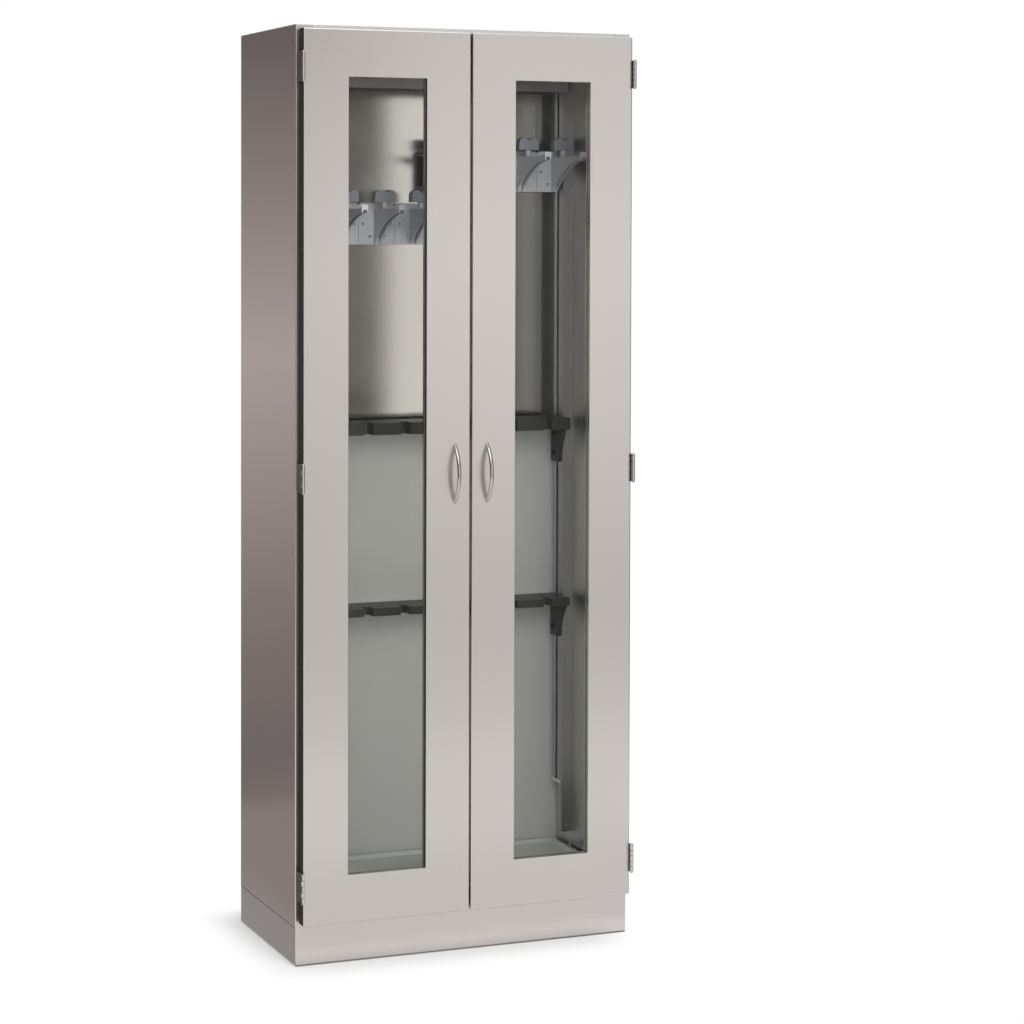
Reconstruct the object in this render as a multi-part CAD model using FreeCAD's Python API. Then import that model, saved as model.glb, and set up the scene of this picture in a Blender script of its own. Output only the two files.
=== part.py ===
import FreeCAD, Part
import math
import os
from FreeCAD import Vector

# Free-standing scope cabinet: a stainless sheet case on a plinth with two glazed doors.
# Inside are staggered scope hangers, two sliding tube guides on corner tracks and a drip tray.
# Millimetres. X runs to the right, Y to the back and Z up.
# The origin lies on the floor under the middle of the whole cabinet.

# Case
case_width = 826.0
case_depth = 428.0
overall_height = 2134.0
sheet = 1.5
bend_radius = 2.4
front_flange = 40.0
rear_flange = 20.0
plinth_height = 90.0
plinth_inset = 1.0
plinth_flange = 20.0
floor_rise = 12.0
header_height = 65.0
rail_depth = 30.0
sill_height = 40.0
top_flange = 20.0
seam = 0.5

# Rear structure inside the case
rear_channel_height = 119.5
rear_channel_depth = 70.0
track_from_back = 43.0
track_width = 45.0
track_thickness = 27.0
track_bottom_z = 298.0
track_wall = 2.5
slot_opening = 12.0
clip_height = 8.0
clip_wall = 2.0
upright_depth = 12.0
upright_above_tray = 33.0
upright_screw_first_z = 190.0
upright_screw_pitch = 461.0
upright_screw_count = 4
hanger_rail_depth = 61.0
hanger_rail_height = 80.0
hanger_rail_margin = 10.0

# Doors
door_gap = 8.0
door_thickness = 25.5
door_side_reveal = 7.7
door_top_reveal = 8.7
door_bottom_reveal = 9.5
door_meeting_gap = 4.0
door_edge_radius = 3.0
window_stile = 108.0
window_reveal = 10.0
window_edge_radius = 1.2
glass_thickness = 5.0
glass_bite = 6.5
glazing_wall = 1.5
glazing_lip = 0.5
seal_width = 9.0
seal_gap = 0.3
seal_from_hinge_edge = 20.3
seal_from_top = 24.0
seal_from_bottom = 9.0
seal_from_meeting_edge = 6.0

# Handles
handle_rod = 9.0
handle_half_chord = 64.0
handle_rise = 29.0
handle_from_meeting_edge = 38.0
handle_screw_radius = 2.0
handle_screw_depth = 3.5
handle_screw_head_radius = 4.0
handle_screw_head_height = 3.0

# Hinges
hinge_height = 65.0
hinge_end_distance = 87.0
knuckle_count = 5
leaf_thickness = 2.0
leaf_gap = 0.8
barrel_radius = 4.2
barrel_proud = 8.0
pin_radius = 2.2
pin_head_radius = 3.4
pin_head_height = 2.2
knuckle_gap = 0.2
knuckle_chamfer = 0.7
barrel_clearance = 0.5
foot_width = 22.0
leaf_back_margin = 2.0
leaf_screw_radius = 2.0
leaf_screw_head_radius = 3.6
leaf_screw_spread = 40.0
leaf_screw_length = 6.0
foot_screw_head_height = 2.0

# Magnetic catches
catch_length = 50.0
catch_height = 14.0
catch_depth = 6.0
catch_from_meeting_edge = 18.0
catch_below_top = 38.0
strike_thickness = 1.5

# Scope hangers
hanger_end_margin = 11.7
hangers_per_row = 4
left_row_below_top = 498.7
row_stagger = 130.0
plate_thickness = 6.0
plate_height = 100.0
plate_corner = 8.0
plate_gap = 0.8
arm_width = 16.0
arm_wall = 3.0
arm_length = 187.0
arm_top = 86.0
arm_tip_depth = 10.0
arm_tip_rise = 9.0
arm_tip_length = 9.0
arm_edge_radius = 2.0
gusset_root = 8.0
gusset_mid_reach = 70.0
gusset_mid_z = 45.0
yoke_width = 53.0
yoke_reach = 58.0
yoke_thickness = 24.0
yoke_bottom = 102.0
yoke_top = 131.6
yoke_hump_radius = 13.0
yoke_dip = 5.5
yoke_edge_radius = 2.5
yoke_post = 10.0
yoke_post_inset = 6.0
hanger_screw_radius = 3.2
hanger_screw_recess = 1.0
hanger_screw_edge = 10.2
hanger_screw_upper_z = 50.0
hanger_screw_lower = (18.0, 19.5)

# Tube guides
upper_guide_top_z = 1209.0
lower_guide_top_z = 764.5
upper_guide_height = 29.0
lower_guide_height = 19.0
guide_depth = 105.0
guide_wall = 4.0
guide_end_gap = 0.5
guide_back_gap = 1.0
notch_width = 22.0
notch_depth = 36.0
notch_mouth_radius = 5.0
bracket_thickness = 8.0
bracket_gap = 0.2
bracket_drop = 84.0
bracket_foot = 51.0
bracket_front_gap = 4.0
bracket_shoulder = 12.0
bracket_corner = 8.0
clamp_from_lip = 12.0
clamp_spacing = 49.0
clamp_shank_radius = 3.0
clamp_head_radius = 7.0
clamp_head_height = 6.0
nut_width = 24.0
nut_thickness = 6.0
nut_gap = 0.25

# Drip tray
tray_side_gap = 11.5
tray_front_gap = 24.0
tray_back_gap = 5.0
tray_height = 39.0
tray_rim = 8.0
tray_corner = 14.0
tray_handle_rod = 9.5
tray_handle_length = 150.0
tray_handle_height = 21.0
tray_handle_bend = 10.0

# Fits
fit = 0.05
foot_screw_share = 0.62
head_round_share = 0.6
seal_round_share = 0.3
catch_round_share = 0.2
notch_round_share = 0.9
screw_hole_gap = 0.2

# Places worked out from the sizes above
handle_reach = handle_rise + handle_rod / 2
overall_depth = case_depth + door_gap + door_thickness + handle_reach
half_width = case_width / 2
inner_x = half_width - sheet
back_y = overall_depth / 2
front_y = back_y - case_depth
inner_back_y = back_y - 2 * sheet
floor_z = plinth_height + floor_rise
under_top_z = overall_height - sheet
opening_x = half_width - front_flange
sill_top_z = plinth_height + sill_height
header_z = overall_height - header_height
channel_z = under_top_z - rear_channel_height
channel_y = inner_back_y - rear_channel_depth
track_x = inner_x - track_thickness
track_back_y = inner_back_y - track_from_back
track_front_y = track_back_y - track_width
back_seam_z = upper_guide_top_z - upper_guide_height / 2
slot_y = (track_back_y + track_front_y) / 2
upright_front_y = track_front_y - upright_depth
upright_x = (track_x + inner_x) / 2
hanger_y = inner_back_y - hanger_rail_depth

door_back_y = front_y - door_gap
door_front_y = door_back_y - door_thickness
door_hinge_x = -half_width + door_side_reveal
door_meeting_x = -door_meeting_gap / 2
door_low_z = plinth_height + door_bottom_reveal
door_high_z = overall_height - door_top_reveal
door_mid_z = (door_low_z + door_high_z) / 2
window_x = (door_hinge_x + window_stile, door_meeting_x - window_stile)
window_z = (door_low_z + window_stile, door_high_z - window_stile)
glass_front_y = door_front_y + window_reveal + glazing_wall
glass_back_y = glass_front_y + glass_thickness

handle_x = door_meeting_x - handle_from_meeting_edge
handle_bow_radius = (handle_half_chord ** 2 + handle_rise ** 2) / (2 * handle_rise)

door_leaf_x = (door_hinge_x - leaf_thickness, door_hinge_x)
frame_leaf_x = (door_leaf_x[0] - leaf_gap - leaf_thickness, door_leaf_x[0] - leaf_gap)
barrel_x = door_leaf_x[0] - leaf_gap / 2
barrel_y = door_front_y - barrel_proud
knuckle_length = hinge_height / knuckle_count
hinge_levels = (door_low_z + hinge_end_distance, door_mid_z, door_high_z - hinge_end_distance)
foot_screw_x = frame_leaf_x[0] + foot_width * foot_screw_share
leaf_screw_y = (door_front_y + door_back_y) / 2

catch_z = (door_high_z - catch_below_top - catch_height, door_high_z - catch_below_top)
catch_x = (door_meeting_x - catch_from_meeting_edge - catch_length, door_meeting_x - catch_from_meeting_edge)

hanger_pitch = (track_x - hanger_end_margin) / hangers_per_row
left_row_z = overall_height - left_row_below_top
right_row_z = left_row_z + row_stagger
hanger_xs = [hanger_pitch * (i + 1 - hangers_per_row) for i in range(2 * hangers_per_row)]
guide_half = track_x - guide_end_gap
notch_xs = [x - hanger_pitch / 2 for x in hanger_xs]

tray_half = inner_x - tray_side_gap
tray_y = (front_y + tray_front_gap, inner_back_y - tray_back_gap)
tray_rim_z = floor_z + tray_height

X_AXIS = Vector(1, 0, 0)
Y_AXIS = Vector(0, 1, 0)
Z_AXIS = Vector(0, 0, 1)


def box(x, y, z):
    """Block between the low and high corner on each axis."""
    return Part.makeBox(x[1] - x[0], y[1] - y[0], z[1] - z[0], Vector(x[0], y[0], z[0]))


def prism(edges, direction, length):
    """Closed outline of edges pushed along a direction."""
    outline = Part.Wire(Part.__sortEdges__(edges))
    return Part.Face(outline).extrude(direction * length)


def lines(points):
    """Straight edges through the points, closed back to the first."""
    following = points[1:] + points[:1]
    return [Part.LineSegment(a, b).toShape() for a, b in zip(points, following)]


def arc(start, middle, end):
    return Part.Arc(start, middle, end).toShape()


def line(start, end):
    return Part.LineSegment(start, end).toShape()


def rod(radius, start, direction, length):
    return Part.makeCylinder(radius, length, start, direction)


def edges_where(shape, test):
    """Edges whose middle point passes the test."""
    return [edge for edge in shape.Edges if test(edge.CenterOfMass)]


def near(a, b):
    return abs(a - b) < 1e-4


def mirrored(shape):
    """The same piece for the other side of the cabinet."""
    return shape.mirror(Vector(0, 0, 0), X_AXIS)


def save(name, *solids):
    shape = solids[0] if len(solids) == 1 else Part.makeCompound(list(solids))
    shape.exportStep(os.path.join("parts", name + ".step"))


def hinge_foot_screws(z):
    """Heights of the screws of one hinge leaf."""
    return (z - leaf_screw_spread / 2, z + leaf_screw_spread / 2)


def side_panel():
    """Left side sheet, bent in at the front and at the back."""
    outer = -half_width
    flange = outer + front_flange
    rear = outer + rear_flange
    outline = [
        (outer, front_y), (flange, front_y), (flange, front_y + sheet), (-inner_x, front_y + sheet),
        (-inner_x, back_y - sheet), (rear, back_y - sheet), (rear, back_y), (outer, back_y),
    ]
    points = [Vector(x, y, plinth_height) for x, y in outline]
    panel = prism(lines(points), Z_AXIS, under_top_z - plinth_height)
    corners = edges_where(panel, lambda p: near(p.x, outer) and (near(p.y, front_y) or near(p.y, back_y))
                          and not near(p.z, plinth_height) and not near(p.z, under_top_z))
    panel = panel.makeFillet(bend_radius, corners)
    for level in hinge_levels:
        for z in hinge_foot_screws(level):
            hole = rod(leaf_screw_radius + screw_hole_gap, Vector(foot_screw_x, front_y, z), Y_AXIS, sheet)
            panel = panel.cut(hole)
    return panel


def back_panel(low, high):
    """One of the two sheets of the back, which meet behind the upper tube guide."""
    return box((-inner_x, inner_x), (inner_back_y, back_y - sheet), (low, high))


def top_panel():
    """Top sheet over the sides, with flanges down inside them."""
    top = box((-half_width, half_width), (front_y, back_y), (under_top_z, overall_height))
    upright = edges_where(top, lambda p: near(p.z, (under_top_z + overall_height) / 2))
    top = top.makeFillet(bend_radius, upright)
    flange_y = (front_y + rail_depth + sheet, channel_y)
    flange = box((-inner_x, -inner_x + sheet), flange_y, (under_top_z - top_flange, under_top_z))
    return top.fuse([flange, mirrored(flange)]).removeSplitter()


def floor_panel():
    """Floor sheet with its edges bent down to stand on the plinth."""
    outer = box((-inner_x, inner_x), (front_y + sheet, inner_back_y), (plinth_height, floor_z))
    inner = box((-inner_x + sheet, inner_x - sheet), (front_y + 2 * sheet, inner_back_y - sheet),
                (plinth_height, floor_z - sheet))
    return outer.cut(inner)


def channel_rail(low_z, high_z, back_reach):
    """Front rail between the side panels, bent back along both long edges."""
    outline = [
        (front_y, low_z), (front_y + back_reach, low_z), (front_y + back_reach, low_z + sheet),
        (front_y + sheet, low_z + sheet), (front_y + sheet, high_z - sheet),
        (front_y + back_reach, high_z - sheet), (front_y + back_reach, high_z), (front_y, high_z),
    ]
    points = [Vector(-opening_x, y, z) for y, z in outline]
    return prism(lines(points), X_AXIS, 2 * opening_x)


def front_sill():
    """Low front rail: a plate with one edge bent back over the top."""
    outline = [
        (front_y, plinth_height), (front_y + sheet, plinth_height), (front_y + sheet, sill_top_z - sheet),
        (front_y + rail_depth / 2, sill_top_z - sheet), (front_y + rail_depth / 2, sill_top_z),
        (front_y, sill_top_z),
    ]
    points = [Vector(-opening_x, y, z) for y, z in outline]
    return prism(lines(points), X_AXIS, 2 * opening_x)


def plinth_skirt():
    """Front and sides of the plinth bent from one sheet, with a flange in under the case."""
    outer_x = half_width - plinth_inset
    start_y = front_y + plinth_inset
    skirt = box((-outer_x, outer_x), (start_y, back_y), (0, plinth_height))
    corners = edges_where(skirt, lambda p: near(p.y, start_y) and near(abs(p.x), outer_x))
    skirt = skirt.makeFillet(bend_radius, corners)
    hollow = box((-outer_x + sheet, outer_x - sheet), (start_y + sheet, back_y), (0, plinth_height - sheet))
    mouth = box((-outer_x + plinth_flange, outer_x - plinth_flange), (start_y + plinth_flange, back_y),
                (plinth_height - sheet, plinth_height))
    return skirt.cut(hollow).cut(mouth)


def plinth_rear_rail():
    """Channel that closes the plinth at the back."""
    rail_x = half_width - plinth_inset - sheet
    high_z = plinth_height - sheet
    outline = [
        (back_y, 0), (back_y, high_z), (back_y - plinth_flange, high_z), (back_y - plinth_flange, high_z - sheet),
        (back_y - sheet, high_z - sheet), (back_y - sheet, sheet), (back_y - plinth_flange, sheet),
        (back_y - plinth_flange, 0),
    ]
    points = [Vector(-rail_x, y, z) for y, z in outline]
    return prism(lines(points), X_AXIS, 2 * rail_x)


def rear_top_channel():
    """Channel along the top of the back panel, open to the back."""
    rail_x = inner_x - sheet - seam
    outline = [
        (channel_y, channel_z), (inner_back_y, channel_z), (inner_back_y, channel_z + sheet),
        (channel_y + sheet, channel_z + sheet), (channel_y + sheet, under_top_z - sheet),
        (inner_back_y, under_top_z - sheet), (inner_back_y, under_top_z), (channel_y, under_top_z),
    ]
    points = [Vector(-rail_x, y, z) for y, z in outline]
    return prism(lines(points), X_AXIS, 2 * rail_x)


def corner_track():
    """Left corner track: a lipped channel on the side wall whose slot faces the middle of the cabinet."""
    z = (track_bottom_z, channel_z)
    bar = box((-inner_x, -track_x), (track_front_y, track_back_y), z)
    mouth = box((-track_x - track_wall, -track_x), (slot_y - slot_opening / 2, slot_y + slot_opening / 2), z)
    cavity = box((-inner_x + track_wall, -track_x - track_wall),
                 (track_front_y + track_wall, track_back_y - track_wall), z)
    return bar.cut(mouth).cut(cavity)


def track_end_clip():
    """Cap under the left track that laps its face."""
    y = (track_front_y, track_back_y)
    cap = box((-inner_x, -track_x + clip_wall), y, (track_bottom_z - clip_height / 2, track_bottom_z))
    lap = box((-track_x, -track_x + clip_wall), y, (track_bottom_z, track_bottom_z + clip_height / 2))
    return cap.fuse(lap).removeSplitter()


def upright_screw_levels():
    return [upright_screw_first_z + upright_screw_pitch * i for i in range(upright_screw_count)]


def corner_upright():
    """Left upright: a channel along the front of the track, from above the lifted tray to the top channel."""
    z = (tray_rim_z + upright_above_tray, channel_z)
    bar = box((-inner_x, -track_x), (upright_front_y, track_front_y), z)
    front_edge = edges_where(bar, lambda p: near(p.x, -track_x) and near(p.y, upright_front_y))
    bar = bar.makeFillet(sheet, front_edge)
    bar = bar.cut(box((-inner_x + sheet, -track_x - sheet), (upright_front_y + sheet, track_front_y), z))
    for level in upright_screw_levels():
        bar = bar.cut(rod(leaf_screw_radius + screw_hole_gap, Vector(-upright_x, upright_front_y, level),
                          Y_AXIS, sheet))
    return bar


def row_ends(row):
    """Left and right end of a row of hanger plates: row 0 is the left one, 1 the right one."""
    first = row * hangers_per_row
    last = first + hangers_per_row - 1
    return (hanger_plate_ends(hanger_xs[first])[0], hanger_plate_ends(hanger_xs[last])[1])


def hanger_rail(row, row_z):
    """Channel on the back panel that carries a row of hangers on its front."""
    left, right = row_ends(row)
    low = row_z + (plate_height - hanger_rail_height) / 2
    high = low + hanger_rail_height
    outline = [
        (hanger_y, low), (inner_back_y, low), (inner_back_y, low + sheet), (hanger_y + sheet, low + sheet),
        (hanger_y + sheet, high - sheet), (inner_back_y, high - sheet), (inner_back_y, high), (hanger_y, high),
    ]
    points = [Vector(left + hanger_rail_margin, y, z) for y, z in outline]
    return prism(lines(points), X_AXIS, right - left - 2 * hanger_rail_margin)


def pan_screw(base, direction, shank_radius, shank_length, head_radius, head_height):
    """Domed screw whose shank starts at the base and whose head sits at the far end of the shank."""
    end = base + direction * shank_length
    shank = rod(shank_radius, base, direction, shank_length)
    head = rod(head_radius, end, direction, head_height)
    rim = edges_where(head, lambda p: near((p - end).dot(direction), head_height))
    head = head.makeFillet(head_height * head_round_share, rim)
    return shank.fuse(head)


def upright_screws():
    screws = []
    for level in upright_screw_levels():
        base = Vector(-upright_x, upright_front_y + sheet, level)
        screws.append(pan_screw(base, -Y_AXIS, leaf_screw_radius, sheet, leaf_screw_head_radius,
                                foot_screw_head_height))
    return screws


def window_block(margin, y):
    """Block as large as the window plus a margin all round."""
    return box((window_x[0] - margin, window_x[1] + margin), y, (window_z[0] - margin, window_z[1] + margin))


def handle_ends():
    return (door_mid_z - handle_half_chord, door_mid_z + handle_half_chord)


def leaf_screw_shape(z, gap):
    """Countersunk screw of a door leaf, driven into the edge of the door."""
    face = Vector(door_leaf_x[0], leaf_screw_y, z)
    sink = leaf_screw_head_radius - leaf_screw_radius
    head = Part.makeCone(leaf_screw_head_radius + gap, leaf_screw_radius + gap, sink, face, X_AXIS)
    shank = rod(leaf_screw_radius + gap, face, X_AXIS, leaf_thickness + leaf_screw_length)
    return head.fuse(shank)


def door_shell():
    """Outer door pan: front sheet with edges bent back, and a bent-in window reveal."""
    x = (door_hinge_x, door_meeting_x)
    z = (door_low_z, door_high_z)
    pan = box(x, (door_front_y, door_back_y), z)
    rounded = edges_where(pan, lambda p: not near(p.y, door_back_y))
    pan = pan.makeFillet(door_edge_radius, rounded)
    hollow = box((x[0] + sheet, x[1] - sheet), (door_front_y + sheet, door_back_y), (z[0] + sheet, z[1] - sheet))
    inner_edges = edges_where(hollow, lambda p: not near(p.y, door_back_y))
    hollow = hollow.makeFillet(door_edge_radius - sheet, inner_edges)
    reveal_y = (door_front_y, door_front_y + window_reveal)
    reveal = window_block(sheet, reveal_y)
    shell = pan.cut(hollow).fuse(reveal).cut(window_block(0, reveal_y)).removeSplitter()
    lip = edges_where(shell, lambda p: near(p.y, door_front_y)
                      and window_x[0] - 1 < p.x < window_x[1] + 1 and window_z[0] - 1 < p.z < window_z[1] + 1)
    shell = shell.makeFillet(window_edge_radius, lip)
    for end_z in handle_ends():
        shell = shell.cut(rod(handle_screw_radius + screw_hole_gap, Vector(handle_x, door_front_y, end_z),
                              Y_AXIS, sheet))
    for level in hinge_levels:
        for screw_z in hinge_foot_screws(level):
            shell = shell.cut(leaf_screw_shape(screw_z, screw_hole_gap))
    return shell


def door_liner():
    """Inner door sheet that closes the pan and holds the glass from behind."""
    x = (door_hinge_x + sheet, door_meeting_x - sheet)
    z = (door_low_z + sheet, door_high_z - sheet)
    plate = box(x, (door_back_y - sheet, door_back_y), z)
    corners = edges_where(plate, lambda p: near(p.y, door_back_y - sheet / 2))
    plate = plate.makeFillet(door_edge_radius - sheet, corners)
    return_y = (glass_back_y + glazing_wall, door_back_y)
    return plate.fuse(window_block(sheet, return_y)).cut(window_block(0, return_y)).removeSplitter()


def door_glass():
    return window_block(glass_bite, (glass_front_y, glass_back_y))


def glazing_gasket():
    """Rubber channel round the edge of the glass, with a thin lip showing in the window."""
    y = (glass_front_y - glazing_wall, glass_back_y + glazing_wall)
    return window_block(glass_bite + glazing_wall, y).cut(door_glass()).cut(window_block(-glazing_lip, y))


def door_seal():
    """Seal on the back of the door: along the hinge edge, the top and the bottom."""
    y = (door_back_y, front_y - seal_gap)
    outer_x = (door_hinge_x + seal_from_hinge_edge, door_meeting_x - seal_from_meeting_edge)
    outer_z = (door_low_z + seal_from_bottom, door_high_z - seal_from_top)
    inner_z = (outer_z[0] + seal_width, outer_z[1] - seal_width)
    ring = box(outer_x, y, outer_z).cut(box((outer_x[0] + seal_width, outer_x[1]), y, inner_z))
    crown = edges_where(ring, lambda p: near(p.y, y[1]) and p.x < outer_x[1] - 1e-3)
    return ring.makeFillet(seal_width * seal_round_share, crown)


def door_handle():
    """Bow pull: a round bar bent to an arc and cut off flat at the door."""
    centre = Vector(handle_x, door_front_y - handle_rise + handle_bow_radius, door_mid_z)
    apex = centre - Y_AXIS * handle_bow_radius
    half_turn = math.degrees(math.asin(handle_half_chord / handle_bow_radius)) + 12
    section = Part.Face(Part.Wire(Part.Circle(apex, Z_AXIS, handle_rod / 2).toShape()))
    section.rotate(centre, X_AXIS, -half_turn)
    bow = section.revolve(centre, X_AXIS, 2 * half_turn)
    behind = box((handle_x - handle_rod, handle_x + handle_rod), (door_front_y, back_y), (0, overall_height))
    bow = bow.cut(behind)
    for end_z in handle_ends():
        tip = Vector(handle_x, door_front_y, end_z)
        bow = bow.cut(rod(handle_screw_radius + fit, tip, -Y_AXIS, handle_screw_depth + fit))
    return bow


def handle_screws():
    screws = []
    for end_z in handle_ends():
        tip = Vector(handle_x, door_front_y - handle_screw_depth, end_z)
        screws.append(pan_screw(tip, Y_AXIS, handle_screw_radius, handle_screw_depth + sheet,
                                handle_screw_head_radius, handle_screw_head_height))
    return screws


def knuckle_spans(level, owner):
    """Low and high edge of the knuckles of one leaf: owner 0 is the frame leaf, 1 the door leaf."""
    low = level - hinge_height / 2
    shrink = knuckle_gap * owner
    spans = [(low + knuckle_length * i + shrink, low + knuckle_length * (i + 1) - shrink)
             for i in range(knuckle_count)]
    return spans[owner::2]


def wrap_barrel(leaf, level, owner):
    """Adds a leaf's own knuckles and clears the room of the other leaf's."""
    low = level - hinge_height / 2
    axis = Vector(barrel_x, barrel_y, low)
    for z0, z1 in knuckle_spans(level, 1 - owner):
        room = rod(barrel_radius + barrel_clearance, Vector(barrel_x, barrel_y, z0 - knuckle_gap), Z_AXIS,
                   z1 - z0 + 2 * knuckle_gap)
        leaf = leaf.cut(room)
    knuckles = [rod(barrel_radius, Vector(barrel_x, barrel_y, z0), Z_AXIS, z1 - z0)
                for z0, z1 in knuckle_spans(level, owner)]
    knuckles = [knuckle.makeChamfer(knuckle_chamfer, edges_where(knuckle, lambda p: near(p.x, barrel_x)))
                for knuckle in knuckles]
    bore = rod(pin_radius + fit, axis, Z_AXIS, hinge_height)
    return leaf.fuse(knuckles).removeSplitter().cut(bore)


def frame_leaf(level):
    """Angled leaf: its foot lies on the front flange behind the door, its web runs out to the barrel."""
    z = (level - hinge_height / 2, level + hinge_height / 2)
    web = box(frame_leaf_x, (barrel_y, front_y), z)
    foot = box((frame_leaf_x[0], frame_leaf_x[0] + foot_width), (front_y - leaf_thickness, front_y), z)
    leaf = wrap_barrel(web.fuse(foot), level, 0)
    for screw_z in hinge_foot_screws(level):
        hole = rod(leaf_screw_radius + screw_hole_gap, Vector(foot_screw_x, front_y, screw_z), -Y_AXIS,
                   leaf_thickness)
        leaf = leaf.cut(hole)
    return leaf


def door_leaf(level):
    """Flat leaf on the edge of the door."""
    z = (level - hinge_height / 2, level + hinge_height / 2)
    plate = box(door_leaf_x, (barrel_y, door_back_y - leaf_back_margin), z)
    leaf = wrap_barrel(plate, level, 1)
    for screw_z in hinge_foot_screws(level):
        leaf = leaf.cut(leaf_screw_shape(screw_z, fit))
    return leaf


def hinge_pin(level):
    """Pin with a domed head at each end."""
    low = Vector(barrel_x, barrel_y, level - hinge_height / 2)
    pin = rod(pin_radius, low, Z_AXIS, hinge_height)
    heads = []
    for base, way in ((low, -Z_AXIS), (low + Z_AXIS * hinge_height, Z_AXIS)):
        head = rod(pin_head_radius, base, way, pin_head_height)
        rim = edges_where(head, lambda p: near((p - base).dot(way), pin_head_height))
        heads.append(head.makeFillet(pin_head_height * head_round_share, rim))
    return pin.fuse(heads)


def foot_screws():
    screws = []
    for level in hinge_levels:
        for z in hinge_foot_screws(level):
            base = Vector(foot_screw_x, front_y + sheet, z)
            screws.append(pan_screw(base, -Y_AXIS, leaf_screw_radius, sheet + leaf_thickness,
                                    leaf_screw_head_radius, foot_screw_head_height))
    return screws


def leaf_screws():
    return [leaf_screw_shape(z, 0) for level in hinge_levels for z in hinge_foot_screws(level)]


def door_catch():
    """Magnetic catch on the front of the header rail."""
    catch = box(catch_x, (front_y - catch_depth, front_y), catch_z)
    corners = edges_where(catch, lambda p: near(p.y, front_y - catch_depth / 2))
    return catch.makeFillet(catch_height * catch_round_share, corners)


def catch_strike():
    """Steel plate on the back of the door that the magnet holds."""
    strike = box(catch_x, (door_back_y, door_back_y + strike_thickness), catch_z)
    corners = edges_where(strike, lambda p: near(p.y, door_back_y + strike_thickness / 2))
    return strike.makeFillet(catch_height * catch_round_share, corners)


def hanger_plate_ends(x):
    """Left and right edge of a hanger's back plate, which stops short of the corner tracks."""
    reach = (hanger_pitch - plate_gap) / 2
    return (max(x - reach, -track_x + plate_gap), min(x + reach, track_x - plate_gap))


def hanger_screw_points(x, z):
    """Screws of one hanger, left and right of its arm, where the plate is wide enough."""
    left, right = hanger_plate_ends(x)
    upper = ((hanger_pitch - plate_gap) / 2 - hanger_screw_edge, hanger_screw_upper_z)
    points = []
    for side in (-1, 1):
        for dx, dz in (upper, hanger_screw_lower):
            if left + 2 * hanger_screw_radius < x + side * dx < right - 2 * hanger_screw_radius:
                points.append(Vector(x + side * dx, hanger_y, z + dz))
    return points


def hanger_arm(x, z):
    """Arm of inverted U section with a hollow-curved lower edge and a raised tip."""
    def at(reach, height):
        return Vector(x - arm_width / 2, hanger_y - reach, z + height)
    tip_bottom = at(arm_length, arm_top - arm_tip_depth)
    tip_top = at(arm_length, arm_top + arm_tip_rise)
    tip_back = at(arm_length - arm_tip_length / 2, arm_top + arm_tip_rise)
    tip_foot = at(arm_length - arm_tip_length, arm_top)
    root_top = at(0, arm_top)
    root_bottom = at(0, 0)
    gusset_start = at(gusset_root, 0)
    gusset = arc(gusset_start, at(gusset_mid_reach, gusset_mid_z), tip_bottom)
    outline = [
        line(root_bottom, gusset_start), gusset, line(tip_bottom, tip_top), line(tip_top, tip_back),
        line(tip_back, tip_foot), line(tip_foot, root_top), line(root_top, root_bottom),
    ]
    arm = prism(outline, X_AXIS, arm_width)
    long_edges = edges_where(arm, lambda p: near(p.z, z + arm_top) and not near(p.x, x))
    arm = arm.makeFillet(arm_edge_radius, long_edges)
    hollow = box((x - arm_width / 2 + arm_wall, x + arm_width / 2 - arm_wall),
                 (hanger_y - arm_length, hanger_y - plate_thickness), (z, z + arm_top - arm_wall))
    return arm.cut(hollow)


def hanger_yoke(x, z):
    """Twin-humped saddle that carries the head of a scope, on a short post over the arm."""
    y = hanger_y - yoke_reach + yoke_thickness / 2

    def at(dx, height):
        return Vector(x + dx, y, z + height)
    half = yoke_width / 2
    hump_x = half - yoke_hump_radius
    hump_z = yoke_top - yoke_hump_radius
    dip_z = yoke_top - yoke_dip
    drop = dip_z - hump_z
    dip_radius = (hump_x ** 2 + drop ** 2 - yoke_hump_radius ** 2) / (2 * (yoke_hump_radius - drop))
    share = yoke_hump_radius / (yoke_hump_radius + dip_radius)
    join_x = hump_x * (1 - share)
    join_z = hump_z + (dip_z + dip_radius - hump_z) * share
    outline = [
        line(at(-half, yoke_bottom), at(-half, hump_z)),
        arc(at(-half, hump_z), at(-hump_x, yoke_top), at(-join_x, join_z)),
        arc(at(-join_x, join_z), at(0, dip_z), at(join_x, join_z)),
        arc(at(join_x, join_z), at(hump_x, yoke_top), at(half, hump_z)),
        line(at(half, hump_z), at(half, yoke_bottom)),
        line(at(half, yoke_bottom), at(-half, yoke_bottom)),
    ]
    yoke = prism(outline, -Y_AXIS, yoke_thickness)
    faces_y = (y, y - yoke_thickness)
    rims = edges_where(yoke, lambda p: not near(p.z, z + yoke_bottom)
                       and (near(p.y, faces_y[0]) or near(p.y, faces_y[1])))
    yoke = yoke.makeFillet(yoke_edge_radius, rims)
    post = box((x - yoke_post / 2, x + yoke_post / 2), (y - yoke_thickness + yoke_post_inset, y - yoke_post_inset),
               (z + arm_top - arm_wall, z + yoke_bottom))
    return yoke.fuse(post)


def hanger(x, z):
    """One moulded hanger: back plate, arm and yoke in one piece."""
    left, right = hanger_plate_ends(x)
    plate = box((left, right), (hanger_y - plate_thickness, hanger_y), (z, z + plate_height))
    top_corners = edges_where(plate, lambda p: near(p.z, z + plate_height)
                              and near(p.y, hanger_y - plate_thickness / 2))
    plate = plate.makeFillet(plate_corner, top_corners)
    for point in hanger_screw_points(x, z):
        plate = plate.cut(rod(hanger_screw_radius + screw_hole_gap, point, -Y_AXIS, plate_thickness))
    return plate.fuse([hanger_arm(x, z), hanger_yoke(x, z)]).removeSplitter()


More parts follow.
